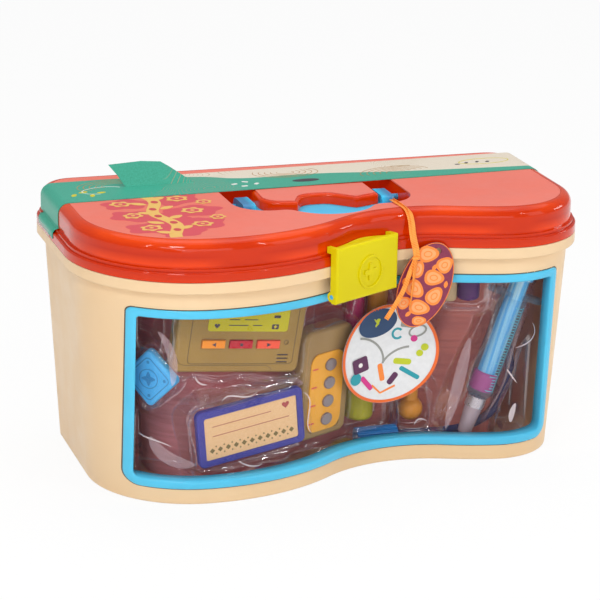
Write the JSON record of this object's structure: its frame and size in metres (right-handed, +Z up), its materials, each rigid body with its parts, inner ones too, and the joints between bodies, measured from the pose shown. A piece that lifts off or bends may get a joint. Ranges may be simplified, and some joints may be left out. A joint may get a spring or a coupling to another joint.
{
  "type": "toy doctor case",
  "caption": "Toy doctor case with a hinged lid, folding carry handle, snap latch and a windowed front that shows play medical tools on a clear tray.",
  "frame": {"origin": "centre of the case's bounding box on the surface it stands on", "axes": "+X along the length, to the right as seen from the window; -Y towards the window; +Z up"},
  "size_m": [0.33, 0.189, 0.1823],
  "materials": {
    "tub_cream": "satin moulded",
    "frame_blue": "glossy moulded",
    "window_clear": "clear plastic",
    "tray_clear": "clear thermoformed sheet",
    "card_maroon": "printed card",
    "label_print": "printed label",
    "pin_blue": "moulded",
    "latch_lime": "satin moulded",
    "lid_red": "glossy translucent",
    "inlay_pink": "satin print",
    "grip_blue": "satin moulded",
    "band_paper": "printed card",
    "tape_clear": "clear tape",
    "tag_print": "printed card",
    "ribbon_orange": "satin ribbon",
    "pager_olive": "moulded",
    "screen_yellow": "printed",
    "button_amber": "moulded",
    "button_red": "moulded",
    "button_coral": "moulded",
    "badge_blue": "moulded",
    "card_cream": "printed",
    "tester_olive": "moulded",
    "panel_yellow": "moulded",
    "lens_dark": "moulded",
    "scope_lime": "moulded",
    "magenta": "moulded",
    "amber": "moulded",
    "hammer_cream": "moulded",
    "knob_purple": "moulded",
    "syringe_clear": "clear plastic",
    "syringe_blue": "moulded",
    "collar_silver": "bright",
    "block_blue": "satin moulded",
    "hose_navy": "matte",
    "bell_blue": "moulded"
  },
  "bodies": {
    "case": {"tub": "tub_cream", "window_frame": "frame_blue", "window_pane": "window_clear", "sticker": "label_print", "lid_hinge_pins": "pin_blue", "latch_pin": "pin_blue", "tray": "tray_clear", "backing_card": "card_maroon", "pager_case": "pager_olive", "pager_screen": "screen_yellow", "badge_frame": "badge_blue", "badge_card": "card_cream", "tester_body": "tester_olive", "tester_panel": "panel_yellow", "tester_lenses": "lens_dark", "scope_handle": "scope_lime", "scope_head": "magenta", "scope_tip": "amber", "bulb": "amber", "hammer_handle": "hammer_cream", "hammer_knob": "knob_purple", "syringe_nozzle": "syringe_blue", "syringe_collar": "collar_silver", "syringe_barrel": "syringe_clear", "block": "block_blue", "stethoscope_bell": "bell_blue", "stethoscope_hose": "hose_navy"},
    "lid": {"lid_shell": "lid_red", "lid_inlay": "inlay_pink", "handle_pins": "pin_blue", "paper_band": "band_paper", "band_tape": "tape_clear", "hang_tag": "tag_print", "tag_ribbon": "ribbon_orange"},
    "handle": {"handle_grip": "grip_blue", "handle_cover": "lid_red", "handle_inlay": "inlay_pink"},
    "latch": {"latch": "latch_lime"},
    "button_amber": {"pager_button_amber": "button_amber"},
    "button_red": {"pager_button_red": "button_red"},
    "button_coral": {"pager_button_coral": "button_coral"},
    "plunger": {"syringe_plunger": "syringe_blue", "syringe_stopper": "magenta"}
  },
  "joints": [
    {"name": "lid_hinge", "type": "hinge", "parent": "case", "child": "lid", "pos_m": [0, 0.09001, 0.141], "axis": [-1, 0, 0], "range_deg": [0, 105]},
    {"name": "handle_fold", "type": "hinge", "parent": "lid", "child": "handle", "pos_m": [0, 0.00957, 0.1595], "axis": [-1, 0, 0], "range_deg": [0, 90]},
    {"name": "latch_hinge", "type": "hinge", "parent": "case", "child": "latch", "pos_m": [0.00804, -0.06728, 0.1245], "axis": [0.8829, 0.4695, 0], "range_deg": [0, 72]},
    {"name": "pager_button_amber_press", "type": "slide", "parent": "case", "child": "button_amber", "axis": [-0.113, 0.9917, 0.0618], "range_m": [0, 0.0012], "stiffness_N_per_m": 300, "springref_m": -0.0015},
    {"name": "pager_button_red_press", "type": "slide", "parent": "case", "child": "button_red", "axis": [-0.113, 0.9917, 0.0618], "range_m": [0, 0.0012], "stiffness_N_per_m": 300, "springref_m": -0.0015},
    {"name": "pager_button_coral_press", "type": "slide", "parent": "case", "child": "button_coral", "axis": [-0.113, 0.9917, 0.0618], "range_m": [0, 0.0012], "stiffness_N_per_m": 300, "springref_m": -0.0015},
    {"name": "plunger_draw", "type": "slide", "parent": "case", "child": "plunger", "axis": [0.3114, -0.0411, 0.9494], "range_m": [0, 0.012]}
  ]
}
